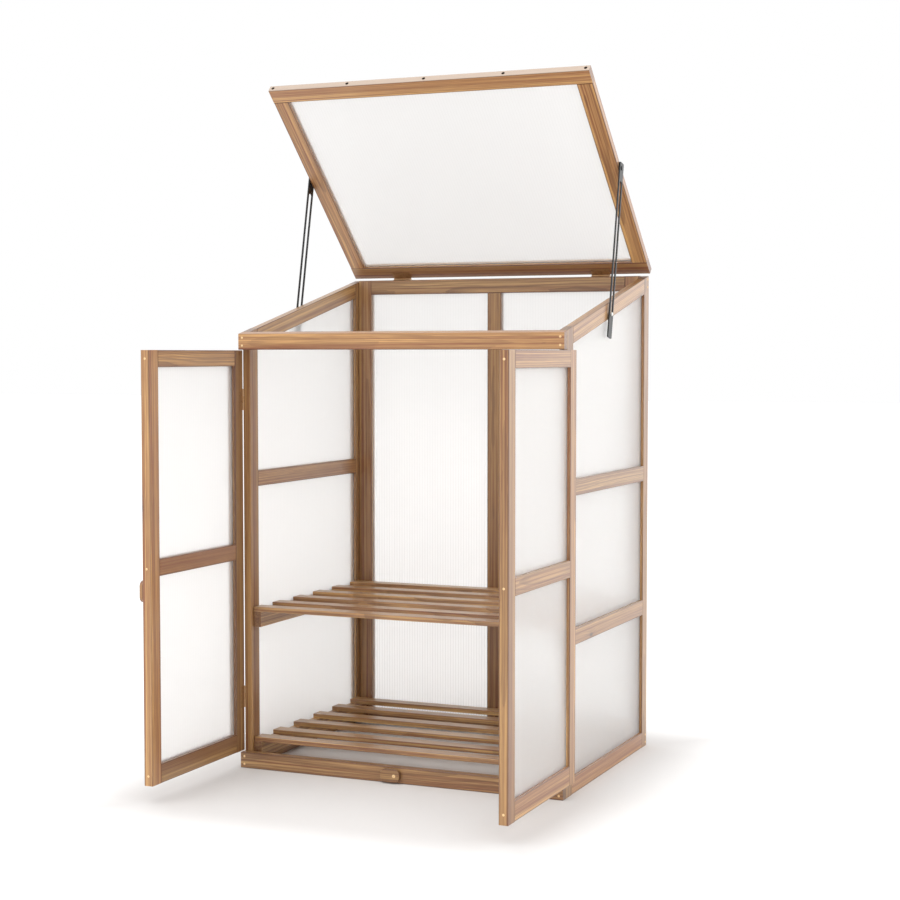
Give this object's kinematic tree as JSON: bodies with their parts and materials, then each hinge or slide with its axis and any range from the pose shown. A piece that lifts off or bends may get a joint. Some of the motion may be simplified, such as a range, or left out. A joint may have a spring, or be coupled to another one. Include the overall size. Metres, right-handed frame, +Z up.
{
  "type": "wooden mini greenhouse",
  "caption": "Timber-framed mini greenhouse with glazed sides, slatted shelves, a pair of front doors and a hinged roof lid held open by slotted stays.",
  "frame": {"origin": "middle of the underside of the front bottom rail, on the ground", "axes": "+Z up, -Y out of the front where the doors are, +X to the right seen from the front"},
  "size_m": [0.8121, 0.9579, 1.527],
  "materials": {
    "timber": "planed softwood, light brown, thin satin oil",
    "glazing": "translucent white twin-wall sheet with fine vertical ribs",
    "black_steel": "black coated flat steel, satin",
    "bright_steel": "bright zinc plated screw",
    "brass": "yellow zinc plated hinge leaf"
  },
  "bodies": {
    "cabinet": {"left_front_post": "timber", "left_back_post": "timber", "left_bottom_rail": "timber", "left_lower_rail": "timber", "left_upper_rail": "timber", "left_roof_rail": "timber", "left_bottom_sheet": "glazing", "left_middle_sheet": "glazing", "left_top_sheet": "glazing", "right_front_post": "timber", "right_back_post": "timber", "right_bottom_rail": "timber", "right_lower_rail": "timber", "right_upper_rail": "timber", "right_roof_rail": "timber", "right_bottom_sheet": "glazing", "right_middle_sheet": "glazing", "right_top_sheet": "glazing", "front_top_rail": "timber", "front_bottom_rail": "timber", "back_left_stile": "timber", "back_right_stile": "timber", "back_centre_post": "timber", "back_top_rail": "timber", "back_bottom_rail": "timber", "back_left_sheet": "glazing", "back_right_sheet": "glazing", "lower_shelf": "timber", "upper_shelf": "timber", "left_stay_pin": "bright_steel", "right_stay_pin": "bright_steel"},
    "lid": {"lid_front_rail": "timber", "lid_back_rail": "timber", "lid_left_rail": "timber", "lid_right_rail": "timber", "lid_sheet": "glazing", "lid_left_hinge": "brass", "lid_right_hinge": "brass"},
    "left_stay": {"left_stay": "black_steel"},
    "right_stay": {"right_stay": "black_steel"},
    "left_door": {"left_door_hinge_stile": "timber", "left_door_free_stile": "timber", "left_door_top_rail": "timber", "left_door_middle_rail": "timber", "left_door_bottom_rail": "timber", "left_door_upper_sheet": "glazing", "left_door_lower_sheet": "glazing", "left_door_upper_hinge": "brass", "left_door_lower_hinge": "brass"},
    "right_door": {"right_door_hinge_stile": "timber", "right_door_free_stile": "timber", "right_door_top_rail": "timber", "right_door_middle_rail": "timber", "right_door_bottom_rail": "timber", "right_door_upper_sheet": "glazing", "right_door_lower_sheet": "glazing", "right_door_upper_hinge": "brass", "right_door_lower_hinge": "brass"},
    "door_button": {"door_turn_button": "timber"},
    "base_button": {"base_turn_button": "timber"}
  },
  "joints": [
    {"name": "lid_hinge", "type": "hinge", "parent": "cabinet", "child": "lid", "pos_m": [0, 0.578, 1.10606], "axis": [1, 0, 0], "range_deg": [0, 56]},
    {"name": "left_stay_pivot", "type": "hinge", "parent": "lid", "child": "left_stay", "pos_m": [-0.385, 0.34714, 1.33098], "axis": [1, 0, 0], "range_deg": [-23.6, 0]},
    {"name": "right_stay_pivot", "type": "hinge", "parent": "lid", "child": "right_stay", "pos_m": [0.385, 0.34714, 1.33098], "axis": [1, 0, 0], "range_deg": [-23.6, 0]},
    {"name": "left_door_hinge", "type": "hinge", "parent": "cabinet", "child": "left_door", "pos_m": [-0.3812, 0.0097, 0.489], "axis": [0, 0, 1], "range_deg": [-90, 90]},
    {"name": "right_door_hinge", "type": "hinge", "parent": "cabinet", "child": "right_door", "pos_m": [0.3812, 0.0097, 0.489], "axis": [0, 0, 1], "range_deg": [-90, 90]},
    {"name": "door_button_screw", "type": "hinge", "parent": "left_door", "child": "door_button", "pos_m": [-0.4062, -0.352, 0.446], "axis": [-1, 0, 0], "range_deg": [0, 90]},
    {"name": "base_button_screw", "type": "hinge", "parent": "cabinet", "child": "base_button", "pos_m": [0, -0.0153, 0.0175], "axis": [0, 1, 0], "range_deg": [0, 180]}
  ],
  "couplings": [
    {"joint": "left_stay_pivot", "follows": "lid_hinge", "ratio": -0.42},
    {"joint": "right_stay_pivot", "follows": "lid_hinge", "ratio": -0.42}
  ]
}
